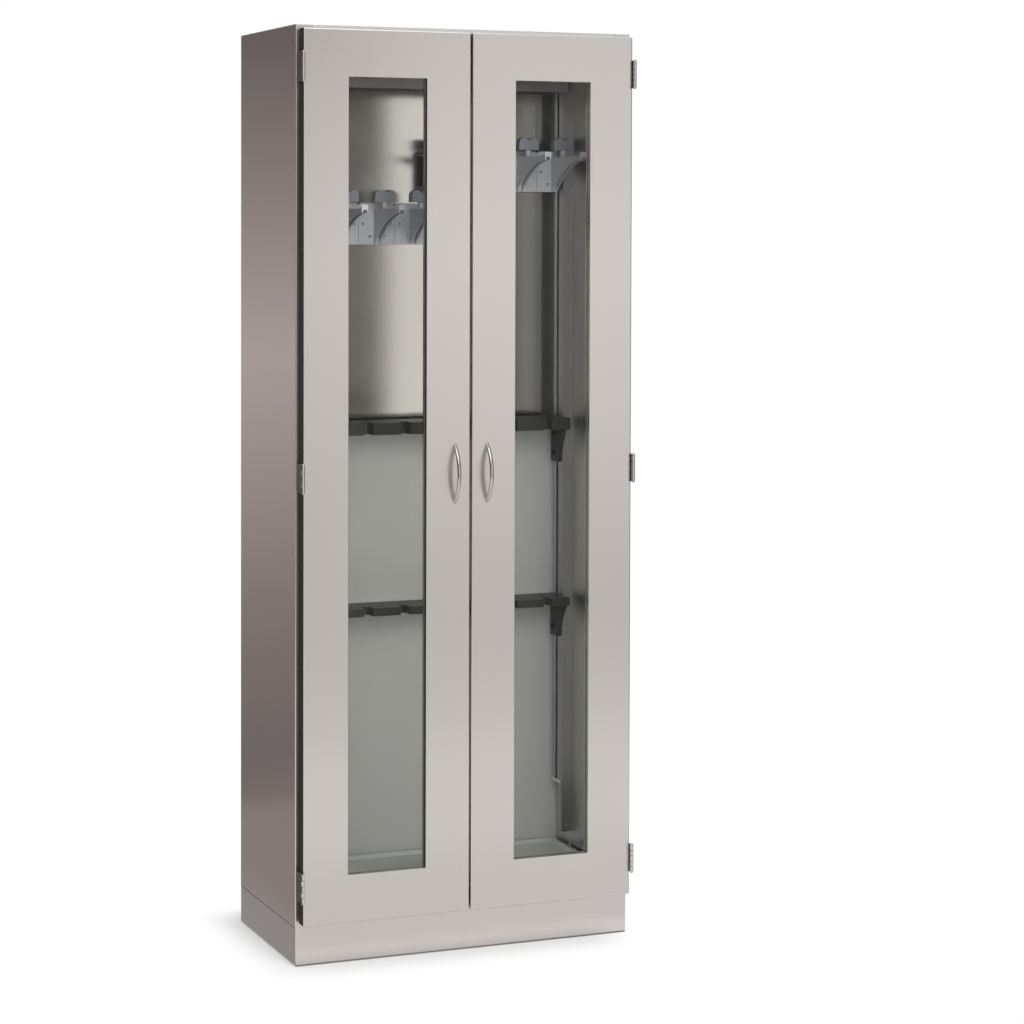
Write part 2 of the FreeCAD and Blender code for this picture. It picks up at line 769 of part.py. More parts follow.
def hanger_row_z(index):
    return left_row_z if index < hangers_per_row else right_row_z


def hanger_screws():
    length = plate_thickness - hanger_screw_recess
    return [rod(hanger_screw_radius, point, -Y_AXIS, length)
            for i, x in enumerate(hanger_xs) for point in hanger_screw_points(x, hanger_row_z(i))]


def notch(x, z, extra):
    """Room of one tube notch: a slot with a round end, open at the front of the guide."""
    radius = notch_width / 2 + extra
    front = track_back_y - guide_depth
    end_y = front + notch_depth - notch_width / 2
    slot = box((x - radius, x + radius), (front, end_y), z)
    return slot.fuse(rod(radius, Vector(x, end_y, z[0]), Z_AXIS, z[1] - z[0]))


def tube_guide(top_z, height):
    """Moulded guide across the cabinet, hollow below, with a notch for each tube."""
    y = (track_back_y - guide_depth, track_back_y - guide_back_gap)
    z = (top_z - height, top_z)
    body = box((-guide_half, guide_half), y, z)
    hollow = box((-guide_half, guide_half), (y[0] + guide_wall, y[1]), (z[0], z[1] - guide_wall))
    hollow = hollow.cut([notch(x, z, guide_wall) for x in notch_xs])
    guide = body.cut([notch(x, z, 0) for x in notch_xs]).cut(hollow)
    mouths = edges_where(guide, lambda p: near(p.y, y[0]) and near(p.z, (z[0] + z[1]) / 2)
                         and abs(p.x) < guide_half - 1)
    return guide.makeFillet(min(notch_mouth_radius, guide_wall * notch_round_share), mouths)


def clamp_points(top_z, height):
    """Centres of the two clamp screws of a left bracket, on the face of the track."""
    upper = top_z - height - clamp_from_lip
    return [Vector(-track_x, slot_y, upper), Vector(-track_x, slot_y, upper - clamp_spacing)]


def guide_bracket(top_z, height):
    """Left bracket under a guide, curved in towards its foot."""
    x = -track_x + bracket_gap
    top = top_z - guide_wall
    bottom = top_z - height - bracket_drop
    nose = guide_depth - guide_wall - bracket_front_gap

    def at(reach, z):
        return Vector(x, track_back_y - reach, z)
    shoulder = at(nose, top - bracket_shoulder)
    knee = at((nose + bracket_foot) / 2 - bracket_corner, (top + bottom) / 2)
    ankle = at(bracket_foot, bottom + bracket_corner)
    toe = at(bracket_foot - bracket_corner, bottom)
    round_off = bracket_corner * (1 - math.sqrt(0.5))
    outline = [
        line(at(guide_back_gap, bottom), at(guide_back_gap, top)), line(at(guide_back_gap, top), at(nose, top)),
        line(at(nose, top), shoulder), arc(shoulder, knee, ankle),
        arc(ankle, at(bracket_foot - round_off, bottom + round_off), toe),
        line(toe, at(guide_back_gap, bottom)),
    ]
    bracket = prism(outline, X_AXIS, bracket_thickness)
    for point in clamp_points(top_z, height):
        bracket = bracket.cut(rod(clamp_shank_radius + screw_hole_gap, point, X_AXIS,
                                  bracket_gap + bracket_thickness))
    return bracket


def clamp_screws(top_z, height):
    """Clamp screws of a left bracket, reaching into the nuts in the track slot."""
    inside = track_wall + nut_gap + nut_thickness
    return [pan_screw(point - X_AXIS * inside, X_AXIS, clamp_shank_radius,
                      inside + bracket_gap + bracket_thickness, clamp_head_radius, clamp_head_height)
            for point in clamp_points(top_z, height)]


def slot_nuts(top_z, height):
    """Square nuts that slide in the left track's slot."""
    nuts = []
    for point in clamp_points(top_z, height):
        outer = point.x - track_wall - nut_gap
        x = (outer - nut_thickness, outer)
        nut = box(x, (point.y - nut_width / 2, point.y + nut_width / 2),
                  (point.z - nut_width / 2, point.z + nut_width / 2))
        nuts.append(nut.cut(rod(clamp_shank_radius + fit, Vector(x[0], point.y, point.z), X_AXIS, x[1] - x[0])))
    return nuts


def drip_tray():
    """Formed pan with round corners and a flat rim turned out."""
    def pan(margin, z):
        block = box((-tray_half + margin, tray_half - margin), (tray_y[0] + margin, tray_y[1] - margin), z)
        upright = edges_where(block, lambda p: near(p.z, (z[0] + z[1]) / 2))
        return block.makeFillet(tray_corner + tray_rim - margin, upright)
    wall = pan(tray_rim, (floor_z, tray_rim_z))
    rim = pan(0, (tray_rim_z - sheet, tray_rim_z))
    room = pan(tray_rim + sheet, (floor_z + sheet, tray_rim_z))
    return wall.fuse(rim).cut(room).removeSplitter()


def tray_handle():
    """Left lifting handle: a round bar bent to a low bridge on the rim."""
    x = -tray_half + tray_rim / 2
    middle = (tray_y[0] + tray_y[1]) / 2
    y = (middle - tray_handle_length / 2, middle + tray_handle_length / 2)
    high = tray_rim_z + tray_handle_height - tray_handle_rod / 2
    bend = tray_handle_bend
    inset = bend * (1 - math.sqrt(0.5))
    path = Part.Wire([
        line(Vector(x, y[0], tray_rim_z), Vector(x, y[0], high - bend)),
        arc(Vector(x, y[0], high - bend), Vector(x, y[0] + inset, high - inset), Vector(x, y[0] + bend, high)),
        line(Vector(x, y[0] + bend, high), Vector(x, y[1] - bend, high)),
        arc(Vector(x, y[1] - bend, high), Vector(x, y[1] - inset, high - inset), Vector(x, y[1], high - bend)),
        line(Vector(x, y[1], high - bend), Vector(x, y[1], tray_rim_z)),
    ])
    section = Part.Wire(Part.Circle(Vector(x, y[0], tray_rim_z), Z_AXIS, tray_handle_rod / 2).toShape())
    return path.makePipeShell([section], True, False)


def save_pair(name, solids):
    """Saves the pieces of the left side and their mirror images on the right."""
    save("left_" + name, *solids)
    save("right_" + name, *[mirrored(solid) for solid in solids])


def save_group(name, solids):
    """Saves the pieces of both sides together."""
    save(name, *solids, *[mirrored(solid) for solid in solids])


def save_case():
    save_pair("side_panel", [side_panel()])
    save("lower_back_panel", back_panel(plinth_height, back_seam_z - seam))
    save("upper_back_panel", back_panel(back_seam_z, under_top_z))
    save("top_panel", top_panel())
    save("floor_panel", floor_panel())
    save("front_header_rail", channel_rail(header_z, under_top_z, rail_depth))
    save("front_sill", front_sill())
    save("plinth_skirt", plinth_skirt())
    save("plinth_rear_rail", plinth_rear_rail())
    save("rear_top_channel", rear_top_channel())
    save_pair("corner_track", [corner_track()])
    save_group("track_end_clips", [track_end_clip()])
    save_group("corner_uprights", [corner_upright()])
    save_group("case_screws", upright_screws() + foot_screws())
    save("hanger_rails", hanger_rail(0, left_row_z), hanger_rail(1, right_row_z))


def save_doors():
    save_pair("door_shell", [door_shell()])
    save_pair("door_liner", [door_liner()])
    save_pair("door_glass", [door_glass()])
    save_pair("glazing_gasket", [glazing_gasket()])
    save_pair("door_seal", [door_seal()])
    save_pair("door_handle", [door_handle()])
    save_pair("handle_screws", handle_screws())
    save_pair("hinge_frame_leaves", [frame_leaf(level) for level in hinge_levels])
    save_pair("hinge_door_leaves", [door_leaf(level) for level in hinge_levels])
    save_group("hinge_pins", [hinge_pin(level) for level in hinge_levels])
    save_pair("hinge_door_screws", leaf_screws())
    save_group("door_catches", [door_catch()])
    save_pair("catch_strike", [catch_strike()])


def save_fittings():
    for index, x in enumerate(hanger_xs):
        save("scope_hanger_%d" % (index + 1), hanger(x, hanger_row_z(index)))
    save("hanger_screws", *hanger_screws())
    for name, top_z, height in (("upper", upper_guide_top_z, upper_guide_height),
                                ("lower", lower_guide_top_z, lower_guide_height)):
        save(name + "_tube_guide", tube_guide(top_z, height))
        save_group(name + "_guide_brackets", [guide_bracket(top_z, height)])
        save_group(name + "_clamp_screws", clamp_screws(top_z, height))
        save_group(name + "_slot_nuts", slot_nuts(top_z, height))
    save("drip_tray", drip_tray())
    save_group("tray_handles", [tray_handle()])


os.makedirs("parts", exist_ok=True)
save_case()
save_doors()
save_fittings()
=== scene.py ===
"""Finishes of a two-door scope cabinet: brushed steel, glass, rubber, mouldings and the studio it stands in."""
import math

import bmesh
import bpy
from bpy.props import FloatProperty, FloatVectorProperty, PointerProperty
from mathutils import Matrix, Vector


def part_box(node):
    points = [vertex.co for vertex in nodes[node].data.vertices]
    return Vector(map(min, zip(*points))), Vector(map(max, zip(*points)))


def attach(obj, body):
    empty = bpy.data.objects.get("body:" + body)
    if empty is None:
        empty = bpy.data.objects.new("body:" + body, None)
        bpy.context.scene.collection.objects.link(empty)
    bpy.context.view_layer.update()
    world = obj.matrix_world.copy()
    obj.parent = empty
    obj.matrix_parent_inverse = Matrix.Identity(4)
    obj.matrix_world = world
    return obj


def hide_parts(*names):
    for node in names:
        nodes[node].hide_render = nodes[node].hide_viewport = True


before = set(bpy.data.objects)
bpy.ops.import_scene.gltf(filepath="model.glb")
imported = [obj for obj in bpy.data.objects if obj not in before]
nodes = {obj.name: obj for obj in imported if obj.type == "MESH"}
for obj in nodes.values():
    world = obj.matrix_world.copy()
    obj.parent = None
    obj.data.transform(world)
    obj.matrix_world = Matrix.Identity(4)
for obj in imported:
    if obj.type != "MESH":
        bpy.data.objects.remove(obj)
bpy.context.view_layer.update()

bl_info = {
    "name": "Scope cabinet",
    "version": (1, 0, 0),
    "blender": (4, 5, 0),
    "location": "View3D > Sidebar > Cabinet",
    "description": "Finishes and studio of a glazed scope cabinet",
    "category": "Object",
}

# Roughness of the brushed sheet outside
SHEET_ROUGH = 0.22

# How far the roughness of a surface swings about its mean
SHEET_SWING = 0.03
ROD_SWING = 0.06
MOULDED_SWING = 0.08

# Clouds, waves and lines in a surface, counted per metre
SHEET_CLOUDS = 2.2
MOULDED_CLOUDS = 9.0
GLASS_WAVES = 6.0
ROD_LINES = 900.0

# Share by which streaks, lines and clouds change the colour
SHEET_STREAK = 0.025
ROD_STREAK = 0.14
MOULDED_STREAK = 0.05

# Depth of one brushing scratch in metres
SCRATCH_DEPTH = 0.00001

# A face is turned to a direction where the cosine between them is above this
TURNED = 0.5

# Samples of the nodes that round edges and find joints
EDGE_SAMPLES = 6
JOINT_SAMPLES = 8

# Index of refraction of glass and plastics
CLEAR_IOR = 1.5

# Steps in a round corner of the tray, and the angle in degrees from which its edges are sharp
CORNER_STEPS = 8
SHARP_ANGLE = 35

# Camera fitted to the photo: metres, degrees, millimetres and a share of the picture
CAMERA_PLACE = (-2.2722, -5.9920, 1.6931)
CAMERA_TURN = -22.327
CAMERA_TILT = -1.556
CAMERA_ROLL = 0.167
CAMERA_SHIFT = -0.2125
SENSOR_WIDTH = 36.0

# Strength at which the studio shows as plain white
WHITE = 1.0

# Tints of the cards
NEUTRAL = (1.0, 1.0, 1.0)
FAINTLY_WARM = (1.0, 0.96, 0.965)
WARM = (1.0, 0.88, 0.88)

# Brightness of the cards beside and before the cabinet, by height in metres
SIDE_LEVELS = [(0.0, 0.25), (0.15, 0.22), (0.6, 0.31), (1.3, 0.585), (1.75, 0.363), (2.2, 0.19), (4.0, 0.166)]
FRONT_LEVELS = [(0.0, 0.88), (0.42, 0.765), (1.08, 0.95), (1.6, 1.05), (2.25, 0.91), (4.0, 0.84)]
NEAR_LEVELS = [(0.0, 0.80), (0.5, 0.735), (1.08, 0.775), (1.6, 0.85), (2.08, 0.70), (2.25, 0.55), (4.0, 0.5)]

# Height of a standing card, and how far one lying card is over the next, in metres
CARD_HEIGHT = 4
CARD_LIFT = 0.001


def linear(hex_colour):
    """Turns an sRGB hex colour into linear red, green and blue."""
    parts = [int(hex_colour[i:i + 2], 16) / 255 for i in (0, 2, 4)]
    return tuple(c / 12.92 if c <= 0.04045 else ((c + 0.055) / 1.055) ** 2.4 for c in parts)


def colour(name, description, hex_colour):
    """A colour property."""
    return FloatVectorProperty(name=name, description=description, subtype="COLOR", size=3, min=0, max=1,
                               default=linear(hex_colour))


def length(name, description, metres):
    """A length property."""
    return FloatProperty(name=name, description=description, default=metres, unit="LENGTH")


class CabinetFinishes(bpy.types.PropertyGroup):
    """Colours and grain sizes of the cabinet."""
    steel: colour("Steel", "Brushed sheet steel of case and doors", "CFCAC6")
    inner_steel: colour("Inner steel", "Brushed sheet steel inside the case", "D8D6D3")
    mill: colour("Mill skin", "Inside of the side panels", "CFCDCA")
    # Painted shade: the dark tint of the rear channel's downward faces
    underside_shade: colour("Underside", "Underside of the rear channel", "6C6C6E")
    rim: colour("Rim", "Line of shadow along the top of the plinth", "3A3634")
    rim_height: length("Rim height", "Height of the line of shadow along the top of the plinth", 0.0022)
    rod_steel: colour("Rod steel", "Polished rods of the pulls", "C6C0BC")
    zinc: colour("Zinc", "Plated screws of case and uprights", "CECECE")
    glass: colour("Glass", "Tint of the window glass", "FBFAF7")
    glass_gloss: colour("Glass gloss", "Strength of the reflections in the glass", "707070")
    coating: colour("Coating", "Powder coat of the lower back panel", "B4B5B2")
    hinge: colour("Hinge steel", "Stamped leaves and barrels of the hinges", "CFC9C5")
    # Painted shade on the outer faces of the case-side hinge leaves
    leaf_shade: colour("Leaf", "Outer face of the hinge leaves on the case", "76716E")
    # The hinges darken in their joints by ambient occlusion: painted shade
    joint: colour("Joint", "Painted shade in the joints of the hinges", "1E1B1A")
    joint_reach: length("Joint reach", "How far from a joint the hinges are still dark", 0.003)
    # Painted shade on the doors' outer edge faces
    door_edge_shade: colour("Door edge", "Folded outer edges of the doors", "4A4441")
    gasket: colour("Gasket", "Glazing gaskets", "595552")
    rubber: colour("Rubber", "Door seals", "17171A")
    hanger: colour("Hanger", "Moulded hangers", "AEB1B6")
    saddle: colour("Saddle", "Saddles on top of the hangers", "787C83")
    saddle_level: length("Saddle level", "Height of the saddles over the foot of a hanger", 0.101)
    guide: colour("Guide", "Moulded tube guides", "2C2E29")
    bracket: colour("Bracket", "End brackets of the tube guides", "252724")
    clamp: colour("Clamp", "Heads of the guide clamps and the catches", "0C0C0C")
    tray: colour("Tray", "Moulded drip tray", "B4B8B4")
    tray_rod: colour("Tray handle", "Coated rods of the tray handles", "767A78")
    clip: colour("Clip", "Track end clips", "C9C9C7")
    track: colour("Track", "Corner tracks", "B0B5BA")
    upright: colour("Upright", "Uprights along the corner tracks", "B0B2B4")
    grain: length("Grain", "Width of one brushing scratch", 0.0006)
    scratch: length("Scratch", "Length of one brushing scratch", 0.12)


class CabinetTray(bpy.types.PropertyGroup):
    """Sizes of the drip tray."""
    tray_depth: length("Depth", "Height of the rim over the tray's floor", 0.0115)
    tray_rim: length("Rim", "Width of the flat rim", 0.008)
    tray_corner: length("Corner", "Radius of the rim's corners", 0.022)
    tray_sheet: length("Sheet", "Thickness of the moulding", 0.0015)


class CabinetStudio(bpy.types.PropertyGroup):
    """Lens, floor and light of the studio."""
    lens: FloatProperty(name="Lens", description="Focal length for a 36 mm wide picture", default=94.98)
    floor_size: length("Floor", "Side of the floor", 60.0)
    floor_paint: colour("Floor paint", "Paint of the floor where it keeps the shadow", "EAEAEA")
    shadow_reach: length("Shadow reach", "Distance from the foot at which the floor has turned plain white", 0.15)
    shadow_left: length("Shadow left", "How far the shadow starts to fade inside the left edge of the foot", 0.04)
    shadow_right: length("Shadow right", "How far the shadow starts to fade inside the right edge of the foot", 0.12)
    # The dim strip is a painted shadow, seen only in the plinth's steel
    edge_width: length("Edge width", "Width of the dim strip along the foot of the plinth", 0.011)
    world_light: FloatProperty(name="World light", description="Strength of the world's light on the cabinet",
                               default=0.6)


def add(tree, kind, settings=None, **links):
    """Adds a node, sets its properties and inputs, and links the outputs it is given.

    A link named i0 or i1 goes to the input of that number. In other names an underscore stands for a space.
    """
    node = tree.nodes.new("ShaderNode" + kind)
    for key, value in (settings or {}).items():
        if isinstance(key, str) and key in node.bl_rna.properties:
            setattr(node, key, value)
        else:
            node.inputs[key].default_value = value
    for key, output in links.items():
        target = node.inputs[int(key[1:])] if key[1:].isdigit() else node.inputs[key.replace("_", " ")]
        tree.links.new(output, target)
    return node


def new_material(name):
    """An empty node material and its tree."""
    material = bpy.data.materials.new(name)
    material.use_nodes = True
    material.node_tree.nodes.clear()
    return material, material.node_tree


def finish(tree, shader):
    """Links a shader to the material's output."""
    add(tree, "OutputMaterial", Surface=shader.outputs[0])


def rgba(value):
    """A colour with full alpha."""
    return (*value, 1.0)


def brushed(name, look, tint, rough, along="Z", pull=0.6, skin=None, rim=None, edge_radius=0.0012):
    """Sheet steel brushed along one axis.

    Scratches in one direction pull highlights out across the grain, and they vary from streak to streak.
    skin is a direction with the tint and roughness of the faces turned to it: the mill skin on the inner faces of the
    side panels, and painted shade on other parts.
    rim is a height with the tint and roughness above it.
    """
    material, tree = new_material(name)
    place = add(tree, "TexCoord")
    # Real brushing is about 0.05 mm wide: it is drawn coarser so that it shows in the render
    scale = [1 / (look.scratch if axis == along else look.grain) for axis in "XYZ"]
    stretch = add(tree, "Mapping", {"Scale": scale}, Vector=place.outputs["Object"])
    hair = add(tree, "TexNoise", {"Scale": 1.0, "Detail": 3.0, "Roughness": 0.6}, Vector=stretch.outputs[0])
    cloud = add(tree, "TexNoise", {"Scale": SHEET_CLOUDS, "Detail": 2.0}, Vector=place.outputs["Object"])
    mixed = add(tree, "Mix", {"Factor": 0.35}, A=hair.outputs["Fac"], B=cloud.outputs["Fac"])
    tone = add(tree, "ValToRGB", Fac=mixed.outputs[0])
    # The noise seldom leaves this range, so the streaks use the whole swing
    faint, strong = 0.3, 0.7
    dark, light = tone.color_ramp.elements
    dark.position, light.position = faint, strong
    dark.color = rgba([c * (1 - SHEET_STREAK) for c in tint])
    light.color = rgba([min(1.0, c * (1 + SHEET_STREAK)) for c in tint])
    dull = add(tree, "MapRange", {"From Min": faint, "From Max": strong, "To Min": rough - SHEET_SWING,
                                  "To Max": rough + SHEET_SWING}, Value=mixed.outputs[0])
    shade, gloss = tone.outputs[0], dull.outputs[0]
    if skin:
        # Faces turned this way are not brushed. On the inner faces of the side panels they keep the duller skin that
        # the mill gave them; on the rear channel's underside, the doors' outer edges and the hinge leaves' outer faces
        # the tint is painted shade
        facing, turned_tint, turned_roughness = skin
        cosine = add(tree, "VectorMath", {"operation": "DOT_PRODUCT", 1: facing}, i0=place.outputs["Normal"])
        turned_mask = add(tree, "Math", {"operation": "GREATER_THAN", 1: TURNED}, i0=cosine.outputs["Value"])
        turned_tone = add(tree, "MixRGB", {"Color2": rgba(turned_tint)}, Fac=turned_mask.outputs[0], Color1=shade)
        turned_gloss = add(tree, "Mix", {"B": turned_roughness}, Factor=turned_mask.outputs[0], A=gloss)
        shade, gloss = turned_tone.outputs[0], turned_gloss.outputs[0]
    if rim:
        # Above this height the sides and back hold a painted line of shadow, which the front does not show
        height, rim_tint, rim_rough = rim
        parts = add(tree, "SeparateXYZ", Vector=place.outputs["Object"])
        above = add(tree, "Math", {"operation": "GREATER_THAN", 1: height}, i0=parts.outputs["Z"])
        ahead = add(tree, "VectorMath", {"operation": "DOT_PRODUCT", 1: (0, -1, 0)}, i0=place.outputs["Normal"])
        aside = add(tree, "Math", {"operation": "LESS_THAN", 1: TURNED}, i0=ahead.outputs["Value"])
        shadow = add(tree, "Math", {"operation": "MULTIPLY"}, i0=above.outputs[0], i1=aside.outputs[0])
        line = add(tree, "MixRGB", {"Color2": rgba(rim_tint)}, Fac=shadow.outputs[0], Color1=shade)
        shadow_line_roughness = add(tree, "Mix", {"B": rim_rough}, Factor=shadow.outputs[0], A=gloss)
        shade, gloss = line.outputs[0], shadow_line_roughness.outputs[0]
    # Sheared and folded edges are slightly round, so they catch a thin line of light
    edge = add(tree, "Bevel", {"samples": EDGE_SAMPLES, "Radius": edge_radius})
    bump = add(tree, "Bump", {"Strength": 0.25, "Distance": SCRATCH_DEPTH}, Height=hair.outputs["Fac"],
               Normal=edge.outputs[0])
    steel = add(tree, "BsdfPrincipled", {"Metallic": 1.0, "Anisotropic": pull}, Base_Color=shade,
                Roughness=gloss, Normal=bump.outputs[0])
    if along == "Z":
        tangent = add(tree, "Tangent", {"direction_type": "RADIAL", "axis": "Z"})
        tree.links.new(tangent.outputs[0], steel.inputs["Tangent"])
    finish(tree, steel)
    return material


def polished(name, tint, rough, edge_radius=0.0004, joint=None):
    """Drawn rod, turned or stamped steel, polished: fine lines soften a bright reflection.

    joint is the reach and the tint of the painted shade in joints between pieces.
    """
    material, tree = new_material(name)
    place = add(tree, "TexCoord")
    lines = add(tree, "TexNoise", {"Scale": ROD_LINES, "Detail": 2.0}, Vector=place.outputs["Object"])
    dull = add(tree, "MapRange", {"To Min": rough - ROD_SWING, "To Max": rough + ROD_SWING},
               Value=lines.outputs["Fac"])
    dark = [c * (1 - ROD_STREAK) for c in tint]
    tone = add(tree, "MixRGB", {"Color1": rgba(tint), "Color2": rgba(dark)}, Fac=lines.outputs["Fac"])
    shade = tone.outputs[0]
    if joint:
        # Painted shade: the hinges darken where their faces close in on each other, in the joints
        reach, joint_tint = joint
        hollow = add(tree, "AmbientOcclusion", {"samples": JOINT_SAMPLES, "Distance": reach})
        occluded_shade = add(tree, "MixRGB", {"Color1": rgba(joint_tint)}, Fac=hollow.outputs["AO"], Color2=shade)
        shade = occluded_shade.outputs[0]
    # Tumbling rounds the edges, so each joint between pieces shows as a dark and a light line
    edge = add(tree, "Bevel", {"samples": EDGE_SAMPLES, "Radius": edge_radius})
    steel = add(tree, "BsdfPrincipled", {"Metallic": 1.0}, Base_Color=shade, Roughness=dull.outputs[0],
                Normal=edge.outputs[0])
    finish(tree, steel)
    return material


def moulded(name, tint, rough, grit, depth, crown=None, sheen=0.5):
    """Injection moulding, rubber or powder coat: a fine grit in its skin breaks up the sheen.

    grit and depth are the size and depth of one grain. crown is a height and the tint above it.
    """
    material, tree = new_material(name)
    place = add(tree, "TexCoord")
    skin = add(tree, "TexNoise", {"Scale": 1 / grit, "Detail": 3.0, "Roughness": 0.7},
               Vector=place.outputs["Object"])
    cloud = add(tree, "TexNoise", {"Scale": MOULDED_CLOUDS, "Detail": 2.0}, Vector=place.outputs["Object"])
    tone = add(tree, "ValToRGB", Fac=cloud.outputs["Fac"])
    dark, light = tone.color_ramp.elements
    dark.color = rgba([c * (1 - MOULDED_STREAK) for c in tint])
    light.color = rgba([min(1.0, c * (1 + MOULDED_STREAK)) for c in tint])
    shade = tone.outputs[0]
    if crown:
        # Above this height, over the plate, the saddle is tinted darker
        level, crown_tint = crown
        parts = add(tree, "SeparateXYZ", Vector=place.outputs["Object"])
        above = add(tree, "Math", {"operation": "GREATER_THAN", 1: level}, i0=parts.outputs["Z"])
        crown_tone = add(tree, "MixRGB", {"Color2": rgba(crown_tint)}, Fac=above.outputs[0], Color1=shade)
        shade = crown_tone.outputs[0]
    dull = add(tree, "MapRange", {"To Min": rough - MOULDED_SWING, "To Max": rough + MOULDED_SWING},
               Value=skin.outputs["Fac"])
    bump = add(tree, "Bump", {"Strength": 0.3, "Distance": depth}, Height=skin.outputs["Fac"])
    plastic = add(tree, "BsdfPrincipled", {"IOR": CLEAR_IOR, "Specular IOR Level": sheen}, Base_Color=shade,
                  Roughness=dull.outputs[0], Normal=bump.outputs[0])
    finish(tree, plastic)
    return material


def float_glass(name, tint, gloss_tint):
    """Toughened float glass: clear, and faintly wavy from its heat treatment.

    gloss_tint weakens the reflections, because the photo shows none in the windows.
    """
    material, tree = new_material(name)
    place = add(tree, "TexCoord")
    wave = add(tree, "TexNoise", {"Scale": GLASS_WAVES, "Detail": 1.0}, Vector=place.outputs["Object"])
    bump = add(tree, "Bump", {"Strength": 0.05, "Distance": 0.0005}, Height=wave.outputs["Fac"])
    glass = add(tree, "BsdfPrincipled", {"Base Color": rgba(tint), "Roughness": 0.0, "IOR": CLEAR_IOR,
                                         "Specular Tint": rgba(gloss_tint), "Transmission Weight": 1.0},
                Normal=bump.outputs[0])
    finish(tree, glass)
    return material


def dress(names, material):
    """Puts a material on CAD nodes."""
    for name in names:
        for slot in nodes[name].material_slots:
            slot.material = material


def named(*words):
    """CAD nodes whose name holds one of these words."""
    return [name for name in nodes if any(word in name for word in words)]


class CABINET_OT_case(bpy.types.Operator):
    """Finishes the case and its inner rails."""
    bl_idname = "cabinet.case"
    bl_label = "Case"

    def execute(self, context):
        look = context.scene.cabinet_finishes
        for name, inwards in (("left_side_panel", (1, 0, 0)), ("right_side_panel", (-1, 0, 0))):
            dress([name], brushed("Stainless steel, brushed upright, " + name, look, look.steel, SHEET_ROUGH,
                                  skin=(inwards, look.mill, 0.34)))
        rim_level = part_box("plinth_skirt")[1][2] - look.rim_height
        dress(["plinth_skirt"], brushed("Stainless steel, brushed upright, plinth", look, look.steel, SHEET_ROUGH,
                                        rim=(rim_level, look.rim, 0.8)))
        dress(["top_panel"], brushed("Stainless steel, brushed upright", look, look.steel, SHEET_ROUGH))
        dress(["upper_back_panel"], brushed("Stainless steel, brushed upright, inside", look, look.inner_steel,
                                            rough=0.15, pull=0.88))
        # The rear channel's downward faces get a dark tint: painted shade
        dress(["rear_top_channel"], brushed("Stainless steel, brushed upright, shade painted below", look,
                                            look.inner_steel, rough=0.42, skin=((0, 0, -1), look.underside_shade, 0.9)))
        dress(["lower_back_panel"], moulded("Steel, powder coated pale grey", look.coating, rough=0.5, grit=0.0015,
                                            depth=0.00008))
        dress(["floor_panel", "front_header_rail", "front_sill", "plinth_rear_rail", "hanger_rails"],
              brushed("Stainless steel, brushed level", look, look.inner_steel, rough=0.30, along="X"))
        return {"FINISHED"}


class CABINET_OT_doors(bpy.types.Operator):
    """Finishes the doors, their glass, gaskets and seals."""
    bl_idname = "cabinet.doors"
    bl_label = "Doors"

    def execute(self, context):
        look = context.scene.cabinet_finishes
        dress(named("door_liner"), brushed("Stainless steel, brushed upright, doors", look, look.steel, SHEET_ROUGH))
        for side, outwards in (("left", (-1, 0, 0)), ("right", (1, 0, 0))):
            # The doors' outward edge faces get a dark tint: painted shade
            dress([side + "_door_shell"], brushed("Stainless steel, brushed upright, " + side + " door", look,
                                                  look.steel, SHEET_ROUGH, skin=(outwards, look.door_edge_shade, 0.6)))
        dress(named("door_glass"), float_glass("Float glass, toughened", look.glass, look.glass_gloss))
        for name in named("door_glass"):
            # Clear glass lets the lamps through: its own shadow would darken the cabinet
            nodes[name].visible_shadow = False
            nodes[name].visible_diffuse = False
        dress(named("glazing_gasket"), moulded("EPDM rubber, extruded grey", look.gasket, rough=0.6, grit=0.0008,
                                               depth=0.0001))
        dress(named("door_seal"), moulded("EPDM rubber, extruded black", look.rubber, rough=0.6, grit=0.0008,
                                          depth=0.0001))
        return {"FINISHED"}


class CABINET_OT_hardware(bpy.types.Operator):
    """Finishes pulls, hinges, screws and catches."""
    bl_idname = "cabinet.hardware"
    bl_label = "Hardware"

    def execute(self, context):
        look = context.scene.cabinet_finishes
        stamped_edge = 0.0016
        dress(named("door_handle"), polished("Stainless steel rod, polished", look.rod_steel, rough=0.08))
        dress(named("hinge_door_leaves"), polished("Stainless steel, stamped and tumbled", look.hinge, rough=0.2,
                                                   edge_radius=stamped_edge, joint=(look.joint_reach, look.joint)))
        for side, outwards in (("left", (-1, 0, 0)), ("right", (1, 0, 0))):
            # The leaves' outward faces get a dark tint: painted shade
            dress([side + "_hinge_frame_leaves"],
                  brushed("Stainless steel, stamped, " + side + " leaves", look, look.hinge, SHEET_ROUGH,
                          skin=(outwards, look.leaf_shade, 0.5), edge_radius=stamped_edge))
        dress(named("screws", "hinge_pins", "catch_strike", "slot_nuts"),
              polished("Stainless steel, turned", look.rod_steel, rough=0.28))
        dress(["case_screws"], polished("Steel, zinc plated bright", look.zinc, rough=0.36))
        dress(["door_catches"], moulded("Polyamide, moulded", look.clamp, rough=0.5, grit=0.0008, depth=0.0001))
        return {"FINISHED"}


class CABINET_OT_hangers(bpy.types.Operator):
    """Finishes the moulded scope hangers."""
    bl_idname = "cabinet.hangers"
    bl_label = "Hangers"

    def execute(self, context):
        look = context.scene.cabinet_finishes
        for row, first in (("left", "scope_hanger_1"), ("right", "scope_hanger_8")):
            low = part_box(first)[0][2]
            row_names = [name for name in named("scope_hanger") if abs(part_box(name)[0][2] - low) < look.saddle_level]
            dress(row_names, moulded("ABS, moulded with a fine grain, " + row + " row", look.hanger, rough=0.45,
                                     grit=0.0012, depth=0.00015, crown=(low + look.saddle_level, look.saddle)))
        return {"FINISHED"}


